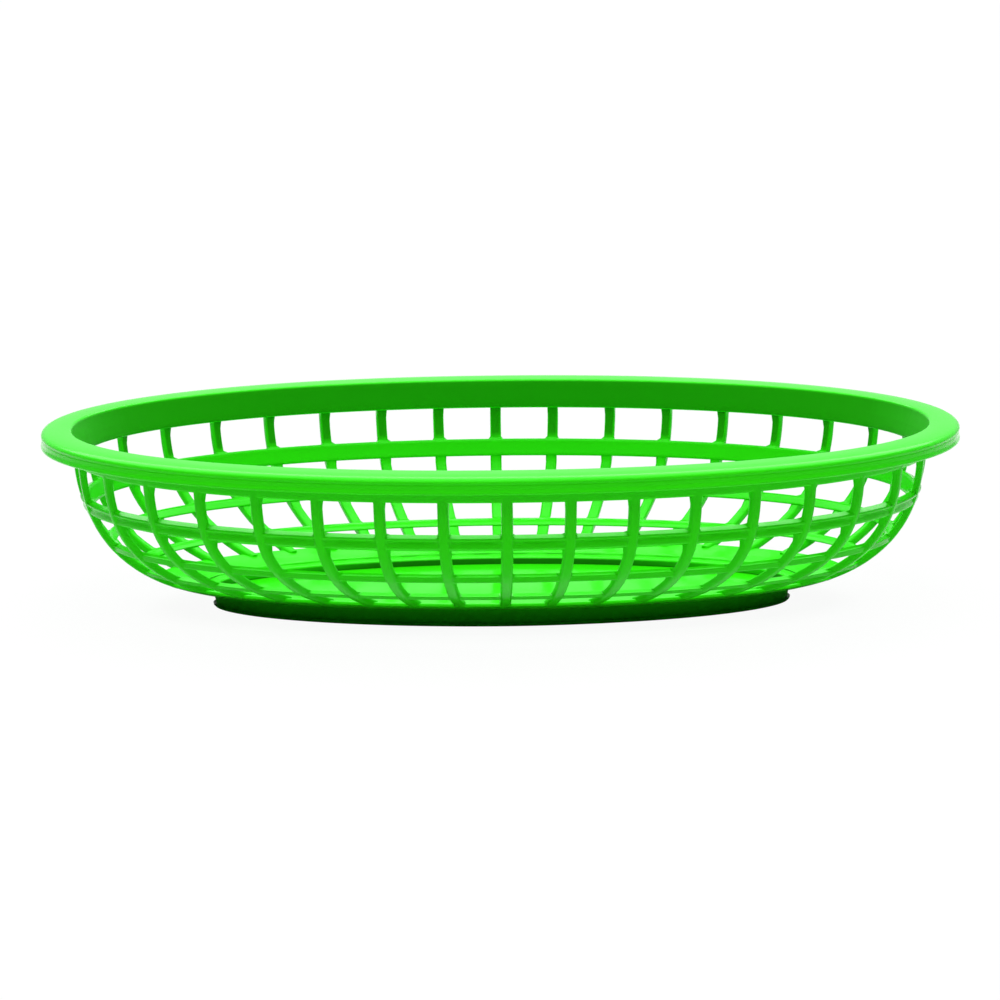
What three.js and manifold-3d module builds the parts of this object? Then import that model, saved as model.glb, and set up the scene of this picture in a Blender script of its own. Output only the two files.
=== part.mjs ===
// Oval serving basket, an open lattice moulding with a turned-down rim and a low oval foot.
// Millimetres, +Z up, origin on the table under the middle of the foot, length along X.
import * as THREE from "three";
import { mergeVertices } from "three/addons/utils/BufferGeometryUtils.js";
import Module from "manifold-3d";

const wasm = await Module();
wasm.setup();

// Overall size
const LENGTH = 235;
const WIDTH = 148;
const HEIGHT = 47.2;

// Plan outline: 2 is a true ellipse, more is fuller at the corners, less is leaner
const RIM_FULLNESS = 2.1;
const FOOT_FULLNESS = 1.88;

// Rim: a flat flange with a rounded inner edge and a skirt that hangs at its outer edge.
// It stands out past the collar a little further at the two ends than at the long sides.
const END_OVERHANG = 8.0;
const SIDE_OVERHANG = 7.2;
const RIM_FLANGE = 2.6;
const RIM_INNER_RADIUS = 2.4;
const RIM_OUTER_RADIUS = 1.8;
const RIM_CROWN = 0.2;
const RIM_CROWN_WIDTH = 0.4;
const SKIRT_DROP = 4.5;
const SKIRT_WALL = 1.7;
const SKIRT_SHOULDER = 2.3;
const SKIRT_GROOVE = 0.35;
const SKIRT_CHAMFER = 0.4;

// Collar: the solid band under the rim, at the top of the wall
const COLLAR_TOP_DROP = 4.2;
const COLLAR_HEIGHT = 3.7;
const COLLAR_WALL = 2.6;

// Hoops of the lattice. Recess and depth are square to the wall, from its outer face
const UPPER_HOOP_TOP = 31.0;
const UPPER_HOOP_HEIGHT = 3.8;
const MIDDLE_HOOP_TOP = 19.6;
const MIDDLE_HOOP_HEIGHT = 2.1;
const LOWER_HOOP_TOP = 12.4;
const LOWER_HOOP_HEIGHT = 1.6;
const HOOP_RECESS = 0.8;
const HOOP_DEPTH = 2.6;
const HOOP_DRAFT = 0.3;

// Belly of the wall: how it swings in to the foot, at the two ends and at the two long sides
const END_BELLY = { reach: 1.9, rise: 2.3 };
const SIDE_BELLY = { reach: 1.06, rise: 3.3 };

// Ribs, slim bars that stand a little proud of the hoops. Depth is square to the wall
const RIB_COUNT = 36;
const RIB_OUTER_WIDTH = 2.7;
const RIB_INNER_WIDTH = 3.1;
const RIB_DEPTH = 2.1;

// Foot, the ring that joins it to the wall, and the floor panel inside it
const FOOT_LENGTH = 148.8;
const FOOT_WIDTH = 58.4;
const FOOT_HEIGHT = 4.4;
const FOOT_WALL = 1.6;
const FOOT_CHAMFER = 0.5;
const BASE_RING_LEDGE = 1.6;
const BASE_RING_LEDGE_WIDTH = 3.4;
const BASE_RING_RISE = 3.1;
const BASE_RING_LIP = 1.6;
const BASE_RING_DRAFT = 0.3;
const BASE_RING_BENDS = [0.2, 0.5];
const FLOOR_TOP = 4.1;
const FLOOR_WALL = 1.8;

// Space left between neighbouring pieces
const CLEARANCE = 0.3;

// Facets: steps round an outline for each rib pitch, along a rib, and along an eighth of a turn
const STEPS_PER_RIB = 3;
const RIB_STEPS = 9;
const ARC_STEPS = 2;
const RING_STEPS = RIB_COUNT * STEPS_PER_RIB;
const OUTLINE_DIVISIONS = 720;

// Heights and insets that follow from the sizes above
const SKIRT_BOTTOM = HEIGHT - SKIRT_DROP;
const COLLAR_TOP = HEIGHT - COLLAR_TOP_DROP;
const COLLAR_BOTTOM = COLLAR_TOP - COLLAR_HEIGHT;
const FLANGE_UNDERSIDE = HEIGHT - RIM_FLANGE;
const LEDGE_HEIGHT = FOOT_HEIGHT + BASE_RING_LEDGE;
const BASE_RING_LIP_BOTTOM = FOOT_HEIGHT + BASE_RING_RISE;
const BASE_RING_LIP_TOP = BASE_RING_LIP_BOTTOM + BASE_RING_LIP;
const RIB_BOTTOM = BASE_RING_LIP_BOTTOM + CLEARANCE;

// An oval outline in plan, walked once anticlockwise from the +X end
class Oval extends THREE.Curve {
  constructor(halfLength, halfWidth, fullness) {
    super();
    this.halfLength = halfLength;
    this.halfWidth = halfWidth;
    this.fullness = fullness;
    this.arcLengthDivisions = OUTLINE_DIVISIONS;
  }

  getPoint(t, target = new THREE.Vector3()) {
    const turn = 2 * Math.PI * t;
    const bend = (value) => Math.sign(value) * Math.abs(value) ** (2 / this.fullness);
    return target.set(this.halfLength * bend(Math.cos(turn)), this.halfWidth * bend(Math.sin(turn)), 0);
  }

  inset(distance) {
    return new Oval(this.halfLength - distance, this.halfWidth - distance, this.fullness);
  }
}

const RIM_OVAL = new Oval(LENGTH / 2, WIDTH / 2, RIM_FULLNESS);
const COLLAR_OVAL = new Oval(LENGTH / 2 - END_OVERHANG, WIDTH / 2 - SIDE_OVERHANG, RIM_FULLNESS);
const BOWL_OVAL = COLLAR_OVAL.inset(COLLAR_WALL);
const FOOT_OVAL = new Oval(FOOT_LENGTH / 2, FOOT_WIDTH / 2, FOOT_FULLNESS);
const FOOT_INNER_OVAL = FOOT_OVAL.inset(FOOT_WALL);

// A height as a share of the climb from one level to another
function climbShare(height, from, to) {
  return THREE.MathUtils.clamp((height - from) / (to - from), 0, 1);
}

// How far out the wall is at a height, from 0 at the foot to 1 at the rim
function bellyShare(height, belly) {
  const climb = climbShare(height, FOOT_HEIGHT, COLLAR_TOP);
  return (1 - (1 - climb) ** belly.rise) ** (1 / belly.reach);
}

// Outer face of the wall at a height
function wallOval(height) {
  const endShare = bellyShare(height, END_BELLY);
  const sideShare = bellyShare(height, SIDE_BELLY);
  return new Oval(
    THREE.MathUtils.lerp(FOOT_OVAL.halfLength, COLLAR_OVAL.halfLength, endShare),
    THREE.MathUtils.lerp(FOOT_OVAL.halfWidth, COLLAR_OVAL.halfWidth, sideShare),
    THREE.MathUtils.lerp(FOOT_FULLNESS, RIM_FULLNESS, sideShare),
  );
}

// Stretches a distance square to the wall into the one along the plan, between two heights
function planStretch(low, high) {
  return Math.hypot(1, (wallOval(high).halfWidth - wallOval(low).halfWidth) / (high - low));
}

function corner(oval, height) {
  return { oval, height };
}

// A lathe ring or disc whose corners are moved out to their own ovals
function turnedToOvals(corners, firstShare) {
  const profile = corners.map(({ oval, height }) => new THREE.Vector2(oval ? oval.halfLength : 0, height));
  const geometry = new THREE.LatheGeometry(profile, RING_STEPS);
  const position = geometry.getAttribute("position");
  const place = new THREE.Vector3();
  for (let step = 0; step <= RING_STEPS; step += 1) {
    const share = ((step % RING_STEPS) + firstShare) / RING_STEPS;
    corners.forEach(({ oval, height }, index) => {
      if (oval) {
        oval.getPointAt(share, place);
      } else {
        place.set(0, 0, 0);
      }
      position.setXYZ(step * corners.length + index, place.x, place.y, height);
    });
  }
  return geometry;
}

// A closed ring: its corners run anticlockwise where the section is cut on the +X side
function ringGeometry(corners, firstShare = 0) {
  return turnedToOvals([...corners, corners[0]], firstShare);
}

// Facets of the lattice hoops straddle the ribs, so each rib meets one flat facet
const ACROSS_RIBS = 0.5;

// Half section from the skirt's inner edge, round the outside, to the middle of the top.
// Its x is the distance in from the rim's outer edge.
function skirtSection() {
  const shoulder = HEIGHT - SKIRT_SHOULDER;
  const roundStart = shoulder + 2 * SKIRT_GROOVE;
  const roundEnd = HEIGHT - RIM_CROWN;
  return new THREE.Path()
    .moveTo(SKIRT_WALL, FLANGE_UNDERSIDE)
    .lineTo(SKIRT_WALL, SKIRT_BOTTOM)
    .lineTo(SKIRT_CHAMFER, SKIRT_BOTTOM)
    .lineTo(0, SKIRT_BOTTOM + SKIRT_CHAMFER)
    .lineTo(0, shoulder)
    .lineTo(SKIRT_GROOVE, shoulder + SKIRT_GROOVE)
    .lineTo(0, roundStart)
    .absellipse(RIM_OUTER_RADIUS, roundStart, RIM_OUTER_RADIUS, roundEnd - roundStart, Math.PI, Math.PI / 2, true)
    .lineTo(RIM_OUTER_RADIUS + RIM_CROWN_WIDTH, HEIGHT);
}

// The rest of the section, over the inner edge and down to the collar.
// Its x is the distance out from the bowl's inner face.
function neckSection() {
  const roundStart = HEIGHT - RIM_CROWN;
  return new THREE.Path()
    .moveTo(RIM_INNER_RADIUS + RIM_CROWN_WIDTH, HEIGHT)
    .lineTo(RIM_INNER_RADIUS, roundStart)
    .absarc(RIM_INNER_RADIUS, roundStart - RIM_INNER_RADIUS, RIM_INNER_RADIUS, Math.PI / 2, Math.PI, false)
    .lineTo(0, COLLAR_TOP)
    .lineTo(COLLAR_WALL, COLLAR_TOP)
    .lineTo(COLLAR_WALL, FLANGE_UNDERSIDE);
}

function rimGeometry() {
  const skirt = skirtSection().getPoints(ARC_STEPS).map(({ x, y }) => corner(RIM_OVAL.inset(x), y));
  const neck = neckSection().getPoints(ARC_STEPS).map(({ x, y }) => corner(BOWL_OVAL.inset(-x), y));
  return ringGeometry([...skirt, ...neck]);
}

function collarGeometry() {
  return ringGeometry([
    corner(BOWL_OVAL, COLLAR_BOTTOM),
    corner(COLLAR_OVAL, COLLAR_BOTTOM),
    corner(COLLAR_OVAL, COLLAR_TOP),
    corner(BOWL_OVAL, COLLAR_TOP),
  ], ACROSS_RIBS);
}

// A hoop with a level ledge on top; its outer face leans in and then drops straight.
// A growth above zero gives the larger ring that is cut out of the ribs.
function hoopGeometry(top, height, growth = 0) {
  const high = top + growth;
  const low = top - height - growth;
  const stretch = planStretch(top - height, top);
  const outer = (level) => wallOval(level).inset((HOOP_RECESS - growth) * stretch);
  const inner = (level) => wallOval(level).inset((HOOP_DEPTH + growth) * stretch);
  return ringGeometry([
    corner(inner(low), low),
    corner(outer(low).inset(HOOP_DRAFT), low),
    corner(outer(low), (low + high) / 2),
    corner(outer(high), high),
    corner(inner(high), high),
  ], ACROSS_RIBS);
}

// The ring from the foot out to the lowest windows. Its inner face has a level ledge round
// the floor and then rises; its outer edge is a low lip. Growth works as on the hoops.
function baseRingGeometry(growth = 0) {
  const side = growth * planStretch(BASE_RING_LIP_BOTTOM, BASE_RING_LIP_TOP);
  const lip = wallOval(BASE_RING_LIP_BOTTOM);
  const bellyLevels = BASE_RING_BENDS.map((share) => FOOT_HEIGHT + share * BASE_RING_RISE);
  return ringGeometry([
    corner(FOOT_INNER_OVAL, FOOT_HEIGHT),
    corner(FOOT_OVAL, FOOT_HEIGHT),
    ...bellyLevels.map((level) => corner(wallOval(level), level - growth)),
    corner(lip.inset(-side), BASE_RING_LIP_BOTTOM - growth),
    corner(lip.inset(BASE_RING_DRAFT - side), BASE_RING_LIP_TOP + growth),
    corner(FOOT_INNER_OVAL.inset(-BASE_RING_LEDGE_WIDTH), LEDGE_HEIGHT + growth),
    corner(FOOT_INNER_OVAL, LEDGE_HEIGHT + growth),
  ], ACROSS_RIBS);
}

function footGeometry() {
  return ringGeometry([
    corner(FOOT_INNER_OVAL, 0),
    corner(FOOT_OVAL.inset(FOOT_CHAMFER), 0),
    corner(FOOT_OVAL, FOOT_CHAMFER),
    corner(FOOT_OVAL, FOOT_HEIGHT),
    corner(FOOT_INNER_OVAL, FOOT_HEIGHT),
  ]);
}

function floorGeometry() {
  const edge = FOOT_INNER_OVAL.inset(CLEARANCE);
  const underside = FLOOR_TOP - FLOOR_WALL;
  return turnedToOvals([
    corner(null, underside),
    corner(edge, underside),
    corner(edge, FLOOR_TOP),
    corner(null, FLOOR_TOP),
  ], 0);
}

// The slope of the wall at a rib is taken this far above and below
const RIB_SPAN = 0.5;

// Heights along a rib, closer together near the foot, where the belly turns fastest
function ribHeight(share) {
  const firstTurn = Math.acos(1 - climbShare(RIB_BOTTOM, FOOT_HEIGHT, COLLAR_BOTTOM));
  const turn = THREE.MathUtils.lerp(firstTurn, Math.PI / 2, share);
  return THREE.MathUtils.lerp(COLLAR_BOTTOM, FOOT_HEIGHT, Math.cos(turn));
}

// A bar bent to the wall, wider on its inner face, at one share of the way round
function ribGeometry(share) {
  const geometry = new THREE.BoxGeometry(1, 1, 1, 1, 1, RIB_STEPS);
  const position = geometry.getAttribute("position");
  const levels = Array.from({ length: RIB_STEPS + 1 }, (_, step) => {
    const height = ribHeight(step / RIB_STEPS);
    const oval = wallOval(height);
    const along = oval.getTangentAt(share);
    return {
      height,
      along,
      inward: new THREE.Vector3(-along.y, along.x, 0),
      outer: oval.getPointAt(share),
      depth: RIB_DEPTH * planStretch(height - RIB_SPAN, height + RIB_SPAN),
    };
  });
  for (let index = 0; index < position.count; index += 1) {
    const level = levels[Math.round((position.getZ(index) + 0.5) * RIB_STEPS)];
    const isInner = position.getY(index) > 0;
    const width = isInner ? RIB_INNER_WIDTH : RIB_OUTER_WIDTH;
    const place = level.outer.clone()
      .addScaledVector(level.along, position.getX(index) * width)
      .addScaledVector(level.inward, isInner ? level.depth : 0);
    position.setXYZ(index, place.x, place.y, level.height);
  }
  return geometry;
}

// Closed solid from a geometry, for cutting
function toSolid(geometry) {
  const bare = geometry.clone();
  bare.deleteAttribute("normal");
  bare.deleteAttribute("uv");
  const merged = mergeVertices(bare);
  return new wasm.Manifold(new wasm.Mesh({
    numProp: 3,
    vertProperties: new Float32Array(merged.getAttribute("position").array),
    triVerts: new Uint32Array(merged.getIndex().array),
  }));
}

function toGeometry(solid) {
  const { vertProperties, triVerts } = solid.getMesh();
  const geometry = new THREE.BufferGeometry();
  geometry.setAttribute("position", new THREE.BufferAttribute(vertProperties, 3));
  geometry.setIndex(new THREE.BufferAttribute(triVerts, 1));
  geometry.computeVertexNormals();
  return geometry;
}

const HOOPS = [
  { name: "upper_hoop", top: UPPER_HOOP_TOP, height: UPPER_HOOP_HEIGHT },
  { name: "middle_hoop", top: MIDDLE_HOOP_TOP, height: MIDDLE_HOOP_HEIGHT },
  { name: "lower_hoop", top: LOWER_HOOP_TOP, height: LOWER_HOOP_HEIGHT },
];

// Solids a little larger than the rings, to notch the ribs with
const NOTCHES = [
  ...HOOPS.map(({ top, height }) => toSolid(hoopGeometry(top, height, CLEARANCE))),
  toSolid(baseRingGeometry(CLEARANCE)),
];

function notchedRib(share) {
  const bar = toSolid(ribGeometry(share));
  return toGeometry(NOTCHES.reduce((rib, notch) => rib.subtract(notch), bar));
}

// One green polypropylene throughout; the pieces differ only a little in gloss
function greenPlastic(roughness) {
  return new THREE.MeshStandardMaterial({ color: 0x2fc51a, roughness, metalness: 0 });
}

function piece(name, geometry, roughness = 0.35) {
  const mesh = new THREE.Mesh(geometry, greenPlastic(roughness));
  mesh.name = name;
  return mesh;
}

const basket = new THREE.Group();
basket.add(piece("rim", rimGeometry(), 0.3));
basket.add(piece("collar", collarGeometry()));
HOOPS.forEach(({ name, top, height }) => basket.add(piece(name, hoopGeometry(top, height))));
basket.add(piece("base_ring", baseRingGeometry()));
basket.add(piece("foot_ring", footGeometry(), 0.45));
basket.add(piece("floor_panel", floorGeometry(), 0.25));
for (let rib = 0; rib < RIB_COUNT; rib += 1) {
  const name = `rib_${String(rib + 1).padStart(2, "0")}`;
  basket.add(piece(name, notchedRib(rib / RIB_COUNT)));
}

export default basket;
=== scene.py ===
# %% [markdown]
# An oval serving basket in glossy green plastic, the kind that chips and sandwiches are
# served in. It comes out of the mould in one shot: a rim that turns down at its edge, an open
# lattice of bowed ribs and three hoops, a ring that carries the lattice in to a low oval foot,
# and a solid floor. This lesson builds those features one after the other, in the place that
# the engineering model gives them, and then lights them as a plain studio would.

# %% Load the fixed frame
import math

import bmesh
import bpy
import numpy as np
from mathutils import Matrix, Vector


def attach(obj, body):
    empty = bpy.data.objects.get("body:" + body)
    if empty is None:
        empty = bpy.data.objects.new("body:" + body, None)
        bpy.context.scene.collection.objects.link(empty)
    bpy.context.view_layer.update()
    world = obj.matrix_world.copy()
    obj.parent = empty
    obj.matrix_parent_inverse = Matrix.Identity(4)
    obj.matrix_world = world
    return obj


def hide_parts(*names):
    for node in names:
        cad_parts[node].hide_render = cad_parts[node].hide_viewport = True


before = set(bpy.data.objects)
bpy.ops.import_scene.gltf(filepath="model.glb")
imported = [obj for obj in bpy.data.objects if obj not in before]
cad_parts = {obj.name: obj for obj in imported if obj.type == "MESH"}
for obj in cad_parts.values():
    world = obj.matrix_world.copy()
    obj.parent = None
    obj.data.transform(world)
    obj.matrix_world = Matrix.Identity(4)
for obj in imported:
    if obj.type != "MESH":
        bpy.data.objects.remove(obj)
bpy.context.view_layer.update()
print("frame nodes:", len(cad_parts))

# %% [markdown]
# Every outline of the basket is an oval that is a little fuller or leaner than an ellipse. A
# circle scaled along one axis would come near, but it would bunch the ribs at the two ends. One
# helper therefore walks the oval by arc length, and not by angle, which keeps the ribs as far
# apart at the ends as they are at the sides.

# %% Sizes of the basket, in millimetres, and the oval
MM = 0.001
LENGTH, WIDTH, HEIGHT = 235.0, 148.0, 47.2
RIM_FULLNESS, FOOT_FULLNESS = 2.1, 1.88
END_OVERHANG, SIDE_OVERHANG, COLLAR_WALL = 8.0, 7.2, 2.6
COLLAR_TOP, COLLAR_BOTTOM = 43.0, 39.3
FOOT_HALF_LENGTH, FOOT_HALF_WIDTH, FOOT_HEIGHT, FOOT_WALL = 74.4, 29.2, 4.4, 1.6
OUTLINE_SAMPLES = 2880


def mix(low, high, share):
    return low + (high - low) * share


class Oval:
    """An oval outline: half length, half width and fullness, where 2 is a true ellipse."""

    def __init__(self, half_length, half_width, fullness):
        self.half_length, self.half_width, self.fullness = half_length, half_width, fullness

    def inset(self, distance):
        return Oval(self.half_length - distance, self.half_width - distance, self.fullness)

    def bend(self, swing):
        return np.sign(swing) * np.abs(swing) ** (2.0 / self.fullness)

    def walk(self, shares, slide=0.0):
        """Points at these shares of the way round, each slid on by some millimetres."""
        turn = np.linspace(0.0, 2.0 * np.pi, OUTLINE_SAMPLES + 1)
        x = self.half_length * self.bend(np.cos(turn))
        y = self.half_width * self.bend(np.sin(turn))
        travelled = np.concatenate([[0.0], np.cumsum(np.hypot(np.diff(x), np.diff(y)))])
        wanted = (shares * travelled[-1] + slide) % travelled[-1]
        return np.interp(wanted, travelled, x), np.interp(wanted, travelled, y)


def between(first, second, share):
    """The oval that lies this share of the way from one oval to another."""
    return Oval(
        mix(first.half_length, second.half_length, share),
        mix(first.half_width, second.half_width, share),
        mix(first.fullness, second.fullness, share),
    )


RIM_OVAL = Oval(LENGTH / 2, WIDTH / 2, RIM_FULLNESS)
COLLAR_OVAL = Oval(LENGTH / 2 - END_OVERHANG, WIDTH / 2 - SIDE_OVERHANG, RIM_FULLNESS)
BOWL_OVAL = COLLAR_OVAL.inset(COLLAR_WALL)
FOOT_OVAL = Oval(FOOT_HALF_LENGTH, FOOT_HALF_WIDTH, FOOT_FULLNESS)
FOOT_INNER_OVAL = FOOT_OVAL.inset(FOOT_WALL)
print("rim oval, mm:", RIM_OVAL.half_length, RIM_OVAL.half_width)

# %% [markdown]
# The wall swings in from the collar to the foot on a belly curve, rounder at the two ends than
# at the two long sides. Each rib and hoop could carry sizes of its own, but then they would
# drift apart when one is changed. One function gives the wall's outer oval at any height, so
# that ribs, hoops and base ring all lie on the same skin, as they do in a mould.

# %% The wall's outer skin
END_BELLY, SIDE_BELLY = (1.9, 2.3), (1.06, 3.3)
SLOPE_SPAN = 0.5


def belly_share(height, belly):
    """How far out the wall has come at a height: 0 at the foot, 1 at the collar."""
    reach, rise = belly
    climb = min(max((height - FOOT_HEIGHT) / (COLLAR_TOP - FOOT_HEIGHT), 0.0), 1.0)
    return (1.0 - (1.0 - climb) ** rise) ** (1.0 / reach)


def wall_oval(height):
    end, side = belly_share(height, END_BELLY), belly_share(height, SIDE_BELLY)
    return Oval(
        mix(FOOT_OVAL.half_length, COLLAR_OVAL.half_length, end),
        mix(FOOT_OVAL.half_width, COLLAR_OVAL.half_width, side),
        mix(FOOT_FULLNESS, RIM_FULLNESS, side),
    )


def plan_stretch(height):
    """Turns a distance square to the wall into the one along the plan."""
    higher, lower = wall_oval(height + SLOPE_SPAN), wall_oval(height - SLOPE_SPAN)
    return math.hypot(1.0, (higher.half_width - lower.half_width) / (2 * SLOPE_SPAN))


print("wall half width halfway up, mm:", round(wall_oval(HEIGHT / 2).half_width, 1))

# %% [markdown]
# The real part is one shell round one axis, and every piece of it here is spun. A sweep along
# a curve would do for a rim of even width, but this rim's width changes on the way round. So a
# bmesh holds half a section, bmesh.ops.spin turns it into a round sheet, and a placing function
# moves each column of points out to its own oval. Fourteen columns belong to each rib pitch:
# nine follow the rib and its rounded shoulders, five lie across the open window, the outer two
# of them close to the ribs, where the window's corners are filled. The ribs are slimmer towards
# the two ends, where the mould has to let go of them sideways.

# %% Spin helpers
RIB_COUNT = 36
PER_PITCH = 14
COLUMNS = RIB_COUNT * PER_PITCH
RIB_OUTER_WIDTH, RIB_INNER_WIDTHS = 2.75, (2.9, 3.05)
END_SLIMMING, SLIMMING_POWER = 0.3, 1.5
SHOULDER, CORNER_FILL = 0.6, 0.5
EDGE_COLUMN = 4
PITCH_SAMPLES = 720
SPIN_RADIUS = 100.0

# A column's place is its step from the middle of its rib, -6 to 7
column = np.arange(COLUMNS)
place = (column + PER_PITCH // 2 - 1) % PER_PITCH - PER_PITCH // 2 + 1
rib_number = np.round((column - place) / PER_PITCH)
towards_end = np.abs(np.cos(2.0 * np.pi * rib_number / RIB_COUNT))
slimness = 1.0 - END_SLIMMING * towards_end ** SLIMMING_POWER

# A quarter round of radius 1 in four points: how far back from the edge, how far sunk
ROUNDING = [
    (1.0 - math.cos(math.radians(angle)), 1.0 - math.sin(math.radians(angle)))
    for angle in (90, 60, 30, 0)
]
print("columns:", COLUMNS)


def columns_on(oval, rib_width):
    """x and y of every column on an oval, with the columns of a rib set by its width."""
    turn = np.linspace(0.0, 2.0 * np.pi, PITCH_SAMPLES + 1)
    ring_x, ring_y = oval.walk(turn / (2.0 * np.pi))
    pitch = np.hypot(np.diff(ring_x), np.diff(ring_y)).sum() / RIB_COUNT
    half_rib, half_pitch = rib_width / 2.0 * slimness, np.full(COLUMNS, pitch / 2.0)
    steps = [0.0 * half_rib] + [half_rib - SHOULDER * back for back, _ in ROUNDING]
    steps += [half_rib + CORNER_FILL, mix(half_rib + CORNER_FILL, half_pitch, 0.5), half_pitch]
    slide = np.sign(place) * np.array(steps)[np.abs(place), column]
    return oval.walk(rib_number / RIB_COUNT, slide)


def spun_sheet(row_count, closed):
    """A round sheet with one row of points for each row of the section."""
    bm = bmesh.new()
    row_of = bm.verts.layers.int.new("row")
    bm.verts.layers.int.new("level")
    section = []
    for row in range(row_count):
        vert = bm.verts.new((SPIN_RADIUS + row, 0.0, -float(row)))
        vert[row_of] = row
        section.append(vert)
    pairs = list(zip(section, section[1:])) + ([(section[-1], section[0])] if closed else [])
    edges = [bm.edges.new(pair) for pair in pairs]
    bmesh.ops.spin(
        bm, geom=section + edges, cent=(0, 0, 0), axis=(0, 0, 1), dvec=(0, 0, 0),
        angle=2.0 * math.pi, steps=COLUMNS, use_merge=True, use_duplicate=False,
    )
    return bm


def column_of(vert):
    return round(math.atan2(vert.co.y, vert.co.x) / (2.0 * math.pi) * COLUMNS) % COLUMNS


def settle(bm, ring_at):
    """Moves each point from its circle to the ring of places that its row and level have."""
    row_of, level_of = bm.verts.layers.int["row"], bm.verts.layers.int["level"]
    known = {}
    for vert in bm.verts:
        key = (vert[row_of], vert[level_of])
        if key not in known:
            known[key] = ring_at(*key)
        x, y, z = known[key]
        index = column_of(vert)
        vert.co = (x[index], y[index], z[index])
    bmesh.ops.recalc_face_normals(bm, faces=bm.faces[:])


def settle_section(bm, section):
    """Settles a sheet whose rows are plain rings, each given by its oval and height."""
    def ring_at(row, level):
        oval, height = section[row]
        return (*columns_on(oval, RIB_OUTER_WIDTH), np.full(COLUMNS, height))

    settle(bm, ring_at)


def to_object(bm, name, sharp_degrees=50.0):
    """Turns a bmesh in millimetres into a smooth-shaded object in metres."""
    bmesh.ops.scale(bm, vec=(MM, MM, MM), verts=bm.verts[:])
    for face in bm.faces:
        face.smooth = True
    limit = math.radians(sharp_degrees)
    for edge in bm.edges:
        if len(edge.link_faces) == 2 and edge.calc_face_angle(0.0) > limit:
            edge.smooth = False
    mesh = bpy.data.meshes.new(name)
    bm.to_mesh(mesh)
    bm.free()
    obj = bpy.data.objects.new(name, mesh)
    bpy.context.scene.collection.objects.link(obj)
    print(name, "faces:", len(mesh.polygons))
    return obj


def spun_piece(section, name, sharp_degrees=50.0):
    """A closed ring with this section, as an object."""
    bm = spun_sheet(len(section), closed=True)
    settle_section(bm, section)
    return to_object(bm, name, sharp_degrees)


# %% [markdown]
# The lattice is two sets of rounded bars that run through each other: upright ribs, and rings
# of which the collar is the highest and widest. Booleans would leave ragged edges at their
# hundred crossings. Here one sheet is cut into windows and thickened, and each point then takes
# whichever bar stands furthest out there, which is just what a union of the bars would give.
# The outer face of the two lower hoops leans less than the wall does, and every hoop's top
# slopes out and down, which is why the tops catch light and the faces stay dark. The deep upper
# hoop has a hollow face under a narrow lip.

# %% Rows of the lattice, from the collar down into the base ring
# Of each hoop, in mm: its top, height and depth, how far the top of its face leans back, the
# rounding of its upper and lower edge, how far the inner face's two edges are lifted, the lip's
# points above the hollow (up, sunk), and where under the top the hollow starts and how deep
HOOPS = (
    {
        "top": 30.4, "height": 3.2, "depth": 2.45, "lean": 0.0,
        "roundings": (0.4, 0.7), "lifts": (0.6, -0.6),
        "lip": ((0.45, 0.03), (0.2, 0.375)), "hollow": (1.1, 0.75),
    },
    {
        "top": 19.3, "height": 1.8, "depth": 2.3, "lean": 0.75,
        "roundings": (0.4, 0.4), "lifts": (0.5, 0.3),
        "lip": (), "hollow": (0.9, 0.05),
    },
    {
        "top": 12.1, "height": 1.25, "depth": 2.15, "lean": 0.6,
        "roundings": (0.3, 0.3), "lifts": (0.5, 0.3),
        "lip": (), "hollow": (0.6, 0.0),
    },
)
HOLLOW_FADE = 0.6
TUCK_HEIGHT, COLLAR_MIDDLE, COLLAR_ROUNDING = 43.1, 41.2, 0.7
LIP_BOTTOM, LIP_TOP, ROOT_HEIGHT = 7.5, 8.3, 7.0
LAST_WINDOW = ((9.9, 0.3), (9.1, 0.0), (LIP_TOP, 0.0))
WINDOW_STEP = 1.9


def window_rows(high, low, high_lift, low_lift):
    """Rows of the ribs between two rings, the last one where the corner fill starts."""
    last = low + CORNER_FILL / plan_stretch(low)
    count = max(1, round((high - last) / WINDOW_STEP))
    heights = [mix(high, last, step / count) for step in range(1, count + 1)]
    return [
        ("window", height, 0.0, mix(high_lift, low_lift, (high - height) / (high - low)))
        for height in heights
    ]


def hoop_rows(hoop):
    """Rows down the face of a hoop, from its upper rounding to its lower one."""
    top, bottom = hoop["top"], hoop["top"] - hoop["height"]
    top_rounding, bottom_rounding = hoop["roundings"]
    start, hollow = hoop["hollow"]
    face = [(top - top_rounding * back, top_rounding * sunk) for back, sunk in reversed(ROUNDING)]
    face += [(top - start + up, sunk) for up, sunk in hoop["lip"]]
    face.append((top - start, hollow))
    face.append((mix(top - start, bottom + bottom_rounding, 0.5), HOLLOW_FADE * hollow))
    face += [(bottom + bottom_rounding * back, bottom_rounding * sunk) for back, sunk in ROUNDING]
    made_rows = []
    for height, sunk in face:
        down = (top - height) / (top - bottom)
        sunk += hoop["lean"] * (1.0 - down)
        made_rows.append(("hoop", height, sunk, mix(*hoop["lifts"], down)))
    return made_rows


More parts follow.
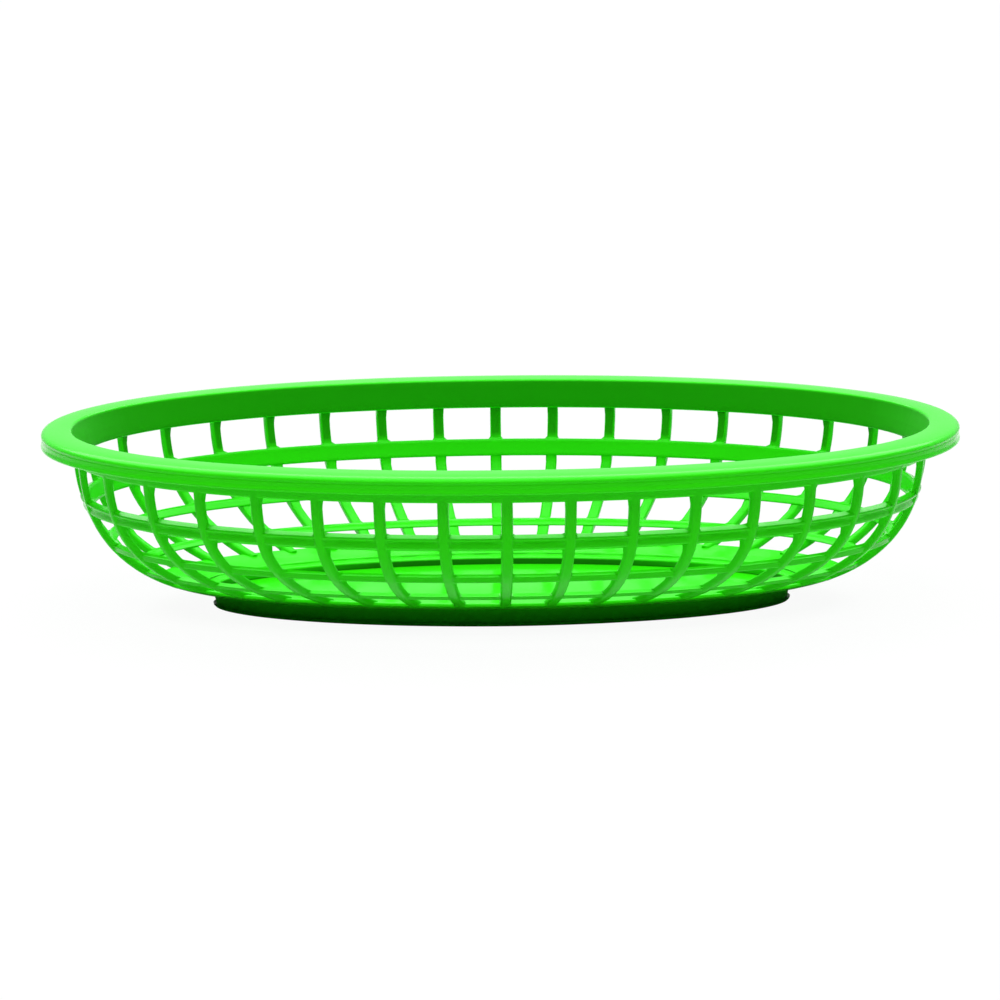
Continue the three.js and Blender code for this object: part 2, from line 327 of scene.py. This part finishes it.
# Each row is its kind, its height, how far it is sunk and how far its inner side is lifted
rows = [("tuck", TUCK_HEIGHT, 0.0, 0.0)]
rows += [("collar", height, 0.0, 0.0) for height in (COLLAR_TOP, COLLAR_MIDDLE)]
rows += [
    ("collar", COLLAR_BOTTOM + COLLAR_ROUNDING * back, COLLAR_ROUNDING * sunk, 0.0)
    for back, sunk in ROUNDING
]
above, above_lift = COLLAR_BOTTOM, 0.0
for hoop in HOOPS:
    rows += window_rows(above, hoop["top"], above_lift, hoop["lifts"][0])
    rows += hoop_rows(hoop)
    above, above_lift = hoop["top"] - hoop["height"], hoop["lifts"][1]
rows += [("window", height, 0.0, lift) for height, lift in LAST_WINDOW]
rows += [("lip", LIP_BOTTOM, 0.0, 0.0), ("root", ROOT_HEIGHT, 0.0, 0.0)]
print("lattice rows:", len(rows))

# %% [markdown]
# A wall this thin could be given one thickness by a Solidify modifier. The real hoops are
# deeper than the ribs, and both are rounded, so the depth is worked out for each point. It is
# measured square to the wall, because the wall lies nearly flat by the foot. The collar grows
# thinner towards its top at the two ends, where the mouth of the basket opens out. At its top
# and at its root the lattice is tucked into the rim and the base ring.

# %% How deep each point of the lattice lies under the wall's skin
RIB_DEPTH, HOOP_RECESS = 1.75, 0.15
INNER_SOFTNESS, SOFTNESS_SLOPE = 0.6, 1.5
TUCK, ROOT_DEPTH, ROOT_TUCK = 0.9, 2.7, 1.1
END_FLARE = 1.3
NEAR = 0.01
OUTER, INNER = 0, 1


def bar_depths(row):
    """Outer and inner depth of the ring that a row belongs to, or none in a window."""
    kind, height, sunk, _ = rows[row]
    if kind == "hoop":
        hoop = next(h for h in HOOPS if h["top"] - h["height"] - NEAR <= height <= h["top"] + NEAR)
        from_end = min(hoop["top"] - height, height - hoop["top"] + hoop["height"])
        softened = max(INNER_SOFTNESS - SOFTNESS_SLOPE * from_end, 0.0) ** 2
        return HOOP_RECESS + sunk, hoop["depth"] - softened
    if kind in ("collar", "tuck"):
        return sunk, COLLAR_WALL - sunk
    return None


def shoulder_of(step):
    """How far a rib's shoulder has fallen at a column, or none beside the rib."""
    if step > EDGE_COLUMN:
        return None
    return ([0.0] + [SHOULDER * sunk for _, sunk in ROUNDING])[step]


def lattice_oval(row, level, step):
    """Oval and height of a row's points on one side, this many columns from a rib's middle."""
    kind, height, _, lift = rows[row]
    bar, shoulder = bar_depths(row), shoulder_of(step)
    bars = [bar] if bar else []
    bars += [(shoulder, RIB_DEPTH - shoulder)] if shoulder is not None else []
    depth = 0.0
    if bars:
        outer, inner = zip(*bars)
        depth = min(outer) if level == OUTER else max(inner)
    if kind in ("collar", "tuck"):
        tuck = TUCK if kind == "tuck" else 0.0
        flare = END_FLARE * (height - COLLAR_BOTTOM) / (COLLAR_TOP - COLLAR_BOTTOM)
        if level == OUTER:
            return COLLAR_OVAL.inset(depth + tuck), height
        oval = COLLAR_OVAL.inset(depth - tuck)
        return Oval(oval.half_length + flare, oval.half_width, oval.fullness), height
    if kind in ("lip", "root"):
        tuck = ROOT_TUCK if kind == "root" else 0.0
        distance = depth + tuck if level == OUTER else ROOT_DEPTH - tuck / 2
        return wall_oval(LIP_BOTTOM).inset(distance), height
    height += lift if level == INNER else 0.0
    return wall_oval(height).inset(depth * plan_stretch(height)), height


def lattice_ring(row, level):
    """x, y and z of every column of a row, outside or inside."""
    x, y, z = np.zeros(COLUMNS), np.zeros(COLUMNS), np.zeros(COLUMNS)
    for step in range(PER_PITCH // 2 + 1):
        here = np.abs(place) == step
        oval, height = lattice_oval(row, level, step)
        down = min((COLLAR_BOTTOM - height) / (COLLAR_BOTTOM - HOOPS[1]["top"]), 1.0)
        inner_width = mix(*RIB_INNER_WIDTHS, max(down, 0.0))
        ring_x, ring_y = columns_on(oval, RIB_OUTER_WIDTH if level == OUTER else inner_width)
        x[here], y[here], z[here] = ring_x[here], ring_y[here], height
    return x, y, z


print("rib depth and hoop depths, mm:", RIB_DEPTH, [hoop["depth"] for hoop in HOOPS])

# %% [markdown]
# The windows of the real basket are cast, with small fillets where a rib lands on a hoop. Here
# they are cut out of the spun sheet, a diagonal is left across each lower corner of the upper
# rows, and bmesh.ops.extrude_face_region then closes the sheet into a solid with depth.

# %% Cut the windows, keep their lower corners filled, and give the lattice its depth
FILLS_ABOVE = 15.0

lattice = spun_sheet(len(rows), closed=False)
row_layer = lattice.verts.layers.int["row"]
level_layer = lattice.verts.layers.int["level"]


def kind_and_step(vert):
    return rows[vert[row_layer]][0], abs(int(place[column_of(vert)]))


def is_sill(index):
    """Whether a row is the upper edge of a hoop whose windows get corner fills."""
    kind, height = rows[index][:2]
    return kind == "hoop" and rows[index - 1][0] == "window" and height > FILLS_ABOVE


sills = {index for index in range(1, len(rows)) if is_sill(index)}
fill_corners = []
for vert in lattice.verts:
    row, (_, step) = vert[row_layer], kind_and_step(vert)
    if (row in sills and step == EDGE_COLUMN + 1) or (row + 1 in sills and step == EDGE_COLUMN):
        fill_corners.append(vert)
bmesh.ops.connect_verts(lattice, verts=fill_corners)
in_the_air = []
for vert in lattice.verts:
    kind, step = kind_and_step(vert)
    if kind in ("window", "lip", "root") and step > EDGE_COLUMN:
        in_the_air.append(vert)
bmesh.ops.delete(lattice, geom=in_the_air, context="VERTS")
made = bmesh.ops.extrude_face_region(lattice, geom=lattice.faces[:])
for vert in (item for item in made["geom"] if isinstance(item, bmesh.types.BMVert)):
    vert[level_layer] = INNER
settle(lattice, lattice_ring)
open_edges = sum(1 for edge in lattice.edges if len(edge.link_faces) != 2)
print("window corners filled:", len(fill_corners) // 2, "open edges:", open_edges)
lattice_piece = to_object(lattice, "lattice", sharp_degrees=62.0)

# %% [markdown]
# The rim is a flange with a skirt. Its section is read in two halves: the outer half keeps its
# distance from the outer edge, the inner half follows the mouth and the bowl, because the
# flange is narrower at the two ends than at the sides. A bevelled plate would be quicker, but
# the bead, the shallow groove, the flat band and the small lip of the skirt are what the eye
# reads along the front. They are written as a table of points, up the skirt and over the top.

# %% Section of the rim
FLANGE_UNDERSIDE, EDGE_ROUNDING = 44.6, 0.8
END_FLANGE, SIDE_FLANGE = 8.0, 9.8
OPENING_OVAL = Oval(LENGTH / 2 - END_FLANGE, WIDTH / 2 - SIDE_FLANGE, RIM_FULLNESS)
THROAT_OVAL = Oval(BOWL_OVAL.half_length + END_FLARE, BOWL_OVAL.half_width, RIM_FULLNESS)


def arc(centre, radii, start, end, count):
    """Points on part of an ellipse, angles in degrees."""
    angles = [math.radians(mix(start, end, step / count)) for step in range(count + 1)]
    return [
        (centre[0] + radii[0] * math.cos(angle), centre[1] + radii[1] * math.sin(angle))
        for angle in angles
    ]


# Distance in from the rim's edge, and height, in mm: the skirt's inside and its lip
from_edge = [(1.7, FLANGE_UNDERSIDE), (1.72, 43.3), (1.6, 42.95), (1.3, 42.75), (0.9, 42.7)]
from_edge += arc((0.6, 43.2), (0.6, 0.5), 270, 160, 6)
# The flat band, the groove over it and the bead
from_edge += [(0.14, 43.66), (0.26, 43.92), (0.3, 44.2), (0.26, 44.8), (0.28, 45.0)]
from_edge += [(0.34, 45.12), (0.35, 45.24), (0.3, 45.36), (0.2, 45.46), (0.12, 45.6)]
from_edge += arc((2.3, 45.7), (2.25, 1.27), 176, 105, 8)
# The slightly crowned top of the flange
from_edge += [(2.6, 47.03), (3.7, 47.13), (5.0, 47.19)]

mouth = [
    (OPENING_OVAL.inset(-EDGE_ROUNDING * back), HEIGHT - EDGE_ROUNDING * sunk)
    for back, sunk in ROUNDING
]
mouth += [
    (between(OPENING_OVAL, THROAT_OVAL, down), mix(HEIGHT - EDGE_ROUNDING, COLLAR_TOP, down))
    for down in (0.35, 0.7)
]
mouth += [(THROAT_OVAL, COLLAR_TOP), (COLLAR_OVAL, COLLAR_TOP), (COLLAR_OVAL, FLANGE_UNDERSIDE)]
rim_piece = spun_piece([(RIM_OVAL.inset(x), z) for x, z in from_edge] + mouth, "rim")

# %% [markdown]
# The base ring carries the wall in to the foot. Seen from inside it has a level ledge round
# the floor and then rises to a low lip, the sill of the lowest windows. It could be one piece
# with foot and floor, as it is in the mould. They are spun apart because the frame holds them
# as separate parts, and each piece here stands for one of them.

# %% Base ring, foot ring and floor
LEDGE_TOP, LEDGE_WIDTH, LEDGE_STEP = 6.0, 3.4, 0.5
SKIN_HEIGHTS = (4.7, 5.1, 5.6, 6.2, 6.8, 7.3)
SLOPE_SHARES, SLOPE_POWER = (0.35, 0.6, 0.85, 0.97), 0.85
# Edges as (distance in, height), in mm: of the lip, of the step down to the ledge, and of the
# riser round the floor, whose distances are outwards
LIP_EDGE = (
    (0.0, 7.6), (0.05, LIP_TOP - 0.4), (0.2, LIP_TOP - 0.1), (0.5, LIP_TOP), (1.0, LIP_TOP - 0.06),
)
STEP_EDGE = (
    (0.0, LEDGE_TOP + LEDGE_STEP - 0.12), (0.08, LEDGE_TOP + 0.06), (0.2, LEDGE_TOP),
)
RISER_EDGE = ((0.65, LEDGE_TOP), (0.19, 5.81), (0.0, 5.35))
FOOT_CHAMFER_HEIGHT, FOOT_CHAMFER_WIDTH = 0.4, 0.3
FLOOR_TOP, FLOOR_UNDERSIDE, FLOOR_LAP, FLOOR_HEART = 4.1, 2.3, 0.2, 20.0

lip, ledge = wall_oval(LIP_BOTTOM), FOOT_INNER_OVAL.inset(-LEDGE_WIDTH)
base_rows = [(FOOT_INNER_OVAL, FOOT_HEIGHT), (FOOT_OVAL, FOOT_HEIGHT)]
base_rows += [(wall_oval(height), height) for height in SKIN_HEIGHTS]
base_rows += [(lip.inset(inwards), height) for inwards, height in LIP_EDGE]
base_rows += [
    (between(lip, ledge, share), mix(LIP_TOP, LEDGE_TOP + LEDGE_STEP, share ** SLOPE_POWER))
    for share in SLOPE_SHARES
]
base_rows += [(ledge.inset(inwards), height) for inwards, height in STEP_EDGE]
base_rows += [(FOOT_INNER_OVAL.inset(-outwards), height) for outwards, height in RISER_EDGE]
base_piece = spun_piece(base_rows, "base_ring")

foot_rows = [(FOOT_INNER_OVAL, FOOT_HEIGHT), (FOOT_INNER_OVAL, FOOT_CHAMFER_HEIGHT)]
foot_rows += [(FOOT_INNER_OVAL.inset(-FOOT_CHAMFER_WIDTH), 0.0)]
foot_rows += [(FOOT_OVAL.inset(back), sunk) for back, sunk in reversed(ROUNDING)]
foot_rows += [(FOOT_OVAL, FOOT_HEIGHT)]
foot_piece = spun_piece(foot_rows, "foot_ring", sharp_degrees=60.0)

floor_edge, floor_heart = FOOT_INNER_OVAL.inset(-FLOOR_LAP), FOOT_INNER_OVAL.inset(FLOOR_HEART)
floor_rows = [(floor_heart, FLOOR_UNDERSIDE), (floor_edge, FLOOR_UNDERSIDE)]
floor_rows += [(floor_edge, FLOOR_TOP), (floor_heart, FLOOR_TOP)]
floor = spun_sheet(len(floor_rows), closed=False)
settle_section(floor, floor_rows)
bmesh.ops.holes_fill(floor, edges=[e for e in floor.edges if e.is_boundary], sides=0)
bmesh.ops.recalc_face_normals(floor, faces=floor.faces[:])
floor_piece = to_object(floor, "floor_panel")

# %% [markdown]
# The plastic is one colour all over, and what makes it look moulded is small: the tone drifts
# a little where the melt flowed, the gloss is uneven, and the surface has a faint orange peel.
# A painted texture could carry this, but noise in object space needs no unwrapping and holds at
# any distance. That set is a node group, so that each finish can use it at its own strength. A
# second group marks the inward faces of the two upright bands inside the basket, the throat
# under the rim and the riser round the floor. There it paints shade into the colour as a deeper
# green, and it also makes those faces rougher.

# %% Node helpers, the moulded surface and the bands of painted shade
PEEL_SCALE, GLOSS_SCALE, FLOW_STRETCH = 900.0, 45.0, (14.0, 14.0, 60.0)
# Where the painted shade falls: inward faces, above and below a middle band of heights
FACING_SLOPE, FACING_START = 6.0, 4.8
BANDS_MIDDLE, BANDS_FROM_MIDDLE, BANDS_SLOPE = 19.5, 11.7, 700.0


def new_group(name, strength, outputs):
    """A node group with one strength as its input and these values as its outputs."""
    group = bpy.data.node_groups.new(name, "ShaderNodeTree")
    socket = group.interface.new_socket(strength, in_out="INPUT", socket_type="NodeSocketFloat")
    socket.default_value = 1.0
    for label in outputs:
        group.interface.new_socket(label, in_out="OUTPUT", socket_type="NodeSocketFloat")
    group_in, group_out = group.nodes.new("NodeGroupInput"), group.nodes.new("NodeGroupOutput")
    return group, group_in.outputs[strength], group_out.inputs


def noise(tree, vector, scale, detail, roughness=0.5):
    node = tree.nodes.new("ShaderNodeTexNoise")
    node.inputs["Scale"].default_value = scale
    node.inputs["Detail"].default_value = detail
    node.inputs["Roughness"].default_value = roughness
    tree.links.new(vector, node.inputs["Vector"])
    return node.outputs["Fac"]


def fill_inputs(tree, node, values):
    """Sets each input of a node to a value, or links it to an output."""
    for socket, value in zip(node.inputs, values):
        if isinstance(value, bpy.types.NodeSocket):
            tree.links.new(value, socket)
        else:
            socket.default_value = value


def maths(tree, operation, first, second=0.5, clamp=False):
    node = tree.nodes.new("ShaderNodeMath")
    node.operation, node.use_clamp = operation, clamp
    fill_inputs(tree, node, (first, second))
    return node.outputs[0]


def vector_maths(tree, operation, *values):
    node = tree.nodes.new("ShaderNodeVectorMath")
    node.operation = operation
    fill_inputs(tree, node, values)
    return node.outputs["Value" if operation == "DOT_PRODUCT" else "Vector"]


moulded, strength, group_out = new_group("moulded_surface", "Peel", ["Height", "Tone", "Gloss"])
where = moulded.nodes.new("ShaderNodeTexCoord").outputs["Object"]
stretched = moulded.nodes.new("ShaderNodeMapping")
stretched.inputs["Scale"].default_value = FLOW_STRETCH
moulded.links.new(where, stretched.inputs["Vector"])
peel = maths(moulded, "MULTIPLY", noise(moulded, where, PEEL_SCALE, 1.0), strength)
flow = noise(moulded, stretched.outputs["Vector"], 1.0, 3.0, 0.55)
gloss = noise(moulded, where, GLOSS_SCALE, 4.0, 0.6)
moulded.links.new(peel, group_out["Height"])
moulded.links.new(flow, group_out["Tone"])
moulded.links.new(gloss, group_out["Gloss"])

# Painted shade: a mask for the inward faces of the throat and of the riser round the floor
painted_shade_bands, strength, group_out = new_group("painted_shade_bands", "Strength", ["Mask"])
where = painted_shade_bands.nodes.new("ShaderNodeTexCoord").outputs["Object"]
facing = painted_shade_bands.nodes.new("ShaderNodeNewGeometry").outputs["Normal"]
to_outside = (1.0 / LENGTH ** 2, 1.0 / WIDTH ** 2, 0.0)
outwards = vector_maths(painted_shade_bands, "MULTIPLY", where, to_outside)
outwards = vector_maths(painted_shade_bands, "NORMALIZE", outwards)
turned_in = vector_maths(painted_shade_bands, "DOT_PRODUCT", outwards, facing)
mask = maths(painted_shade_bands, "MULTIPLY", turned_in, -FACING_SLOPE)
mask = maths(painted_shade_bands, "SUBTRACT", mask, FACING_START, clamp=True)
height = painted_shade_bands.nodes.new("ShaderNodeSeparateXYZ")
painted_shade_bands.links.new(where, height.inputs[0])
bands = maths(painted_shade_bands, "SUBTRACT", height.outputs["Z"], BANDS_MIDDLE * MM)
bands = maths(painted_shade_bands, "ABSOLUTE", bands)
bands = maths(painted_shade_bands, "SUBTRACT", bands, BANDS_FROM_MIDDLE * MM)
bands = maths(painted_shade_bands, "MULTIPLY", bands, BANDS_SLOPE, clamp=True)
mask = maths(painted_shade_bands, "MULTIPLY", mask, bands)
mask = maths(painted_shade_bands, "MULTIPLY", mask, strength)
painted_shade_bands.links.new(mask, group_out["Mask"])
print("node groups:", moulded.name, painted_shade_bands.name)

# %% [markdown]
# One material function makes every finish of the green: the glossy wall and rim, with painted
# shade on the throat, the base with painted shade, a deeper green, on the riser round the floor,
# the floor with a finer polish, and the foot, rougher and painted darker as shade. Four hand-made
# materials would do the same, but they would drift apart at the first change.

# %% Green plastic
GREEN_LIGHT, GREEN_DARK = (0.027, 0.68, 0.004), (0.021, 0.61, 0.003)
# The foot's two tones are the green painted darker as shade
FOOT_SHADED_LIGHT, FOOT_SHADED_DARK = (0.013, 0.33, 0.002), (0.013, 0.28, 0.003)
# Painted shade: the deeper green mixed in where the inner bands' mask is, and extra roughness
GREEN_PAINTED_SHADE, BAND_ROUGHER = (0.008, 0.15, 0.001), 0.45
PLASTIC_IOR, MIRROR_TINT = 1.3, (0.25, 1.0, 0.2, 1.0)
PEEL_HEIGHT, PEEL_BUMP = 0.02, 0.5


def colour_mix(tree, share, first, second):
    """A colour between two others, by a share from 0 to 1."""
    node = tree.nodes.new("ShaderNodeMix")
    node.data_type = "RGBA"
    tree.links.new(share, node.inputs["Factor"])
    for socket, value in ((node.inputs["A"], first), (node.inputs["B"], second)):
        if isinstance(value, tuple):
            socket.default_value = (*value, 1.0)
        else:
            tree.links.new(value, socket)
    return node.outputs["Result"]


def green_plastic(name, light, dark, roughness, spread=0.08, peel=1.0, band_shade=1.0):
    """A moulded green: two tones, roughness and spread, peel, and painted shade on inner bands."""
    material = bpy.data.materials.new(name)
    material.use_nodes = True
    tree = material.node_tree
    shader = tree.nodes["Principled BSDF"]
    shader.inputs["IOR"].default_value = PLASTIC_IOR
    shader.inputs["Specular Tint"].default_value = MIRROR_TINT
    surface, shade_bands = tree.nodes.new("ShaderNodeGroup"), tree.nodes.new("ShaderNodeGroup")
    surface.node_tree, shade_bands.node_tree = moulded, painted_shade_bands
    surface.inputs["Peel"].default_value = peel
    shade_bands.inputs["Strength"].default_value = band_shade
    mask = shade_bands.outputs["Mask"]
    tone = colour_mix(tree, surface.outputs["Tone"], dark, light)
    # The mask paints shade into the base colour as a deeper green
    tree.links.new(colour_mix(tree, mask, tone, GREEN_PAINTED_SHADE), shader.inputs["Base Color"])
    uneven = maths(tree, "MULTIPLY", surface.outputs["Gloss"], spread)
    uneven = maths(tree, "ADD", uneven, maths(tree, "MULTIPLY", mask, BAND_ROUGHER))
    uneven = maths(tree, "ADD", uneven, roughness - spread / 2.0)
    tree.links.new(uneven, shader.inputs["Roughness"])
    relief = tree.nodes.new("ShaderNodeBump")
    relief.inputs["Strength"].default_value = PEEL_BUMP
    relief.inputs["Distance"].default_value = PEEL_HEIGHT * MM
    tree.links.new(surface.outputs["Height"], relief.inputs["Height"])
    tree.links.new(relief.outputs["Normal"], shader.inputs["Normal"])
    return material


# Painted shade: the throat at 0.64 strength, the riser at full strength, none on the floor
gloss_green = green_plastic("gloss_green", GREEN_LIGHT, GREEN_DARK, 0.2, band_shade=0.64)
base_green = green_plastic("base_green", GREEN_LIGHT, GREEN_DARK, 0.2)
floor_green = green_plastic("floor_green", GREEN_LIGHT, GREEN_DARK, 0.14, peel=0.9, band_shade=0.0)
# The foot is painted darker as shade, and it is rougher
foot_shaded_green = green_plastic("foot_shaded_green", FOOT_SHADED_LIGHT, FOOT_SHADED_DARK, 0.3, spread=0.1, peel=1.2)
finishes = (
    (rim_piece, gloss_green),
    (lattice_piece, gloss_green),
    (base_piece, base_green),
    (floor_piece, floor_green),
    (foot_piece, foot_shaded_green),
)
for piece, finish in finishes:
    piece.data.materials.append(finish)
    print(piece.name, "is", finish.name)

# %% [markdown]
# The basket is rigid, so each piece rides on the one body and stands for the nodes of the
# engineering model that it dresses, which are hidden.

# %% Tie the pieces to the frame
ribs = sorted(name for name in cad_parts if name.startswith("rib_"))
stands_for = (
    (rim_piece, ["rim"]),
    (lattice_piece, ["collar", "upper_hoop", "middle_hoop", "lower_hoop", *ribs]),
    (base_piece, ["base_ring"]),
    (foot_piece, ["foot_ring"]),
    (floor_piece, ["floor_panel"]),
)
for piece, nodes in stands_for:
    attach(piece, "root")
    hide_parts(*nodes)
for piece in (lattice_piece, rim_piece, base_piece, foot_piece):
    even = piece.modifiers.new("even_shading", "WEIGHTED_NORMAL")
    even.keep_sharp = True
print("pieces tied:", len(stands_for))

# %% [markdown]
# The photograph was taken from a little above, square to one long side, with a long lens. A
# camera set by eye would come close. This one was found by fitting the rim, the foot and the
# lattice, because a degree of height already changes how much of the floor shows.

# %% Camera
DISTANCE, AIM_SIDE, AIM_HEIGHT = 1166.96, -0.326, 26.846
ELEVATION, TURN, ROLL = math.radians(11.314), math.radians(1.192), math.radians(0.448)
FOCAL_PIXELS, FRAME_PIXELS, SENSOR = 4542.0, 1000.0, 36.0

unturn = Matrix.Rotation(-TURN, 3, "Z")
right = unturn @ Vector((1.0, 0.0, 0.0))
forward = unturn @ Vector((0.0, math.cos(ELEVATION), -math.sin(ELEVATION)))
up = right.cross(forward)
tilt = Matrix.Rotation(ROLL, 3, forward)
right, up = tilt @ right, tilt @ up
eye = unturn @ Vector((AIM_SIDE, 0.0, AIM_HEIGHT)) - forward * DISTANCE
camera_data = bpy.data.cameras.new("camera")
camera_data.lens = FOCAL_PIXELS / FRAME_PIXELS * SENSOR
camera_data.sensor_width = SENSOR
camera_data.clip_start, camera_data.clip_end = 0.05, 50.0
camera = bpy.data.objects.new("camera", camera_data)
turned = Matrix((right, up, -forward)).transposed().to_4x4()
camera.matrix_world = Matrix.Translation(eye * MM) @ turned
bpy.context.scene.collection.objects.link(camera)
bpy.context.scene.camera = camera
print("lens, mm:", round(camera_data.lens, 1))

# %% [markdown]
# The studio is plain: a white table and a white surround, one broad soft light overhead and a
# little behind, and a weak one in front. Light from behind keeps the inside of the far wall
# dark and the tops of the hoops bright. An environment picture could light it too, but two
# lamps are easier to read. The camera sees table and surround as white. To every other ray the
# table is a pale grey that throws some of the lamps' light back up, and the surround is dimmer
# in reflections and nearly dark as a light.

# %% Table and lights
TABLE_HALF_SIZE, TABLE_GREY, TABLE_WHITENESS = 6.0, 0.72, 0.94
SURROUND_LEVEL, SURROUND_IN_GLOSS = 0.06, 0.6
WHITE = (1.0, 1.0, 1.0, 1.0)

table_mesh = bpy.data.meshes.new("table")
table = bmesh.new()
bmesh.ops.create_grid(table, x_segments=1, y_segments=1, size=TABLE_HALF_SIZE)
table.to_mesh(table_mesh)
table.free()
table_piece = bpy.data.objects.new("table", table_mesh)
bpy.context.scene.collection.objects.link(table_piece)

table_paint = bpy.data.materials.new("table_white")
table_paint.use_nodes = True
tree = table_paint.node_tree
tree.nodes.clear()
plain = tree.nodes.new("ShaderNodeBsdfDiffuse")
plain.inputs["Color"].default_value = (TABLE_GREY, TABLE_GREY, TABLE_GREY, 1.0)
glow = tree.nodes.new("ShaderNodeEmission")
glow.inputs["Strength"].default_value = 1.0
blend = tree.nodes.new("ShaderNodeMixShader")
ray = tree.nodes.new("ShaderNodeLightPath")
seen = maths(tree, "MAXIMUM", ray.outputs["Is Camera Ray"], ray.outputs["Is Transmission Ray"])
seen = maths(tree, "MULTIPLY", seen, TABLE_WHITENESS)
tree.links.new(seen, blend.inputs["Fac"])
tree.links.new(plain.outputs[0], blend.inputs[1])
tree.links.new(glow.outputs[0], blend.inputs[2])
tree.links.new(blend.outputs[0], tree.nodes.new("ShaderNodeOutputMaterial").inputs["Surface"])
table_mesh.materials.append(table_paint)

world = bpy.data.worlds.new("surround")
bpy.context.scene.world = world
world.use_nodes = True
tree = world.node_tree
background = tree.nodes["Background"]
background.inputs["Color"].default_value = WHITE
ray = tree.nodes.new("ShaderNodeLightPath")
glossy = maths(tree, "MULTIPLY", ray.outputs["Is Glossy Ray"], SURROUND_IN_GLOSS)
seen = maths(tree, "MAXIMUM", ray.outputs["Is Camera Ray"], glossy)
seen = maths(tree, "MAXIMUM", seen, ray.outputs["Is Transmission Ray"])
level = maths(tree, "MULTIPLY", seen, 1.0 - SURROUND_LEVEL)
level = maths(tree, "ADD", level, SURROUND_LEVEL)
tree.links.new(level, background.inputs["Strength"])


def softbox(name, stand, aim, size, watts):
    """A square area light that stands at one point and faces another, in metres."""
    data = bpy.data.lights.new(name, "AREA")
    data.shape, data.size, data.energy = "SQUARE", size, watts
    lamp = bpy.data.objects.new(name, data)
    lamp.location = stand
    lamp.rotation_euler = (Vector(stand) - Vector(aim)).to_track_quat("Z", "Y").to_euler()
    bpy.context.scene.collection.objects.link(lamp)
    print(name, "watts:", watts)


softbox("overhead_softbox", (0.0, 1.0, 1.5), (0.0, 1.0, 0.0), 3.0, 84.0)
softbox("front_softbox", (0.0, -0.8, 1.35), (0.0, 0.0, 0.03), 1.2, 13.0)

# %% [markdown]
# The colours should come out as they were written, so the plain view is used and not a film
# look.

# %% Colour settings
scene = bpy.context.scene
scene.view_settings.view_transform = "Standard"
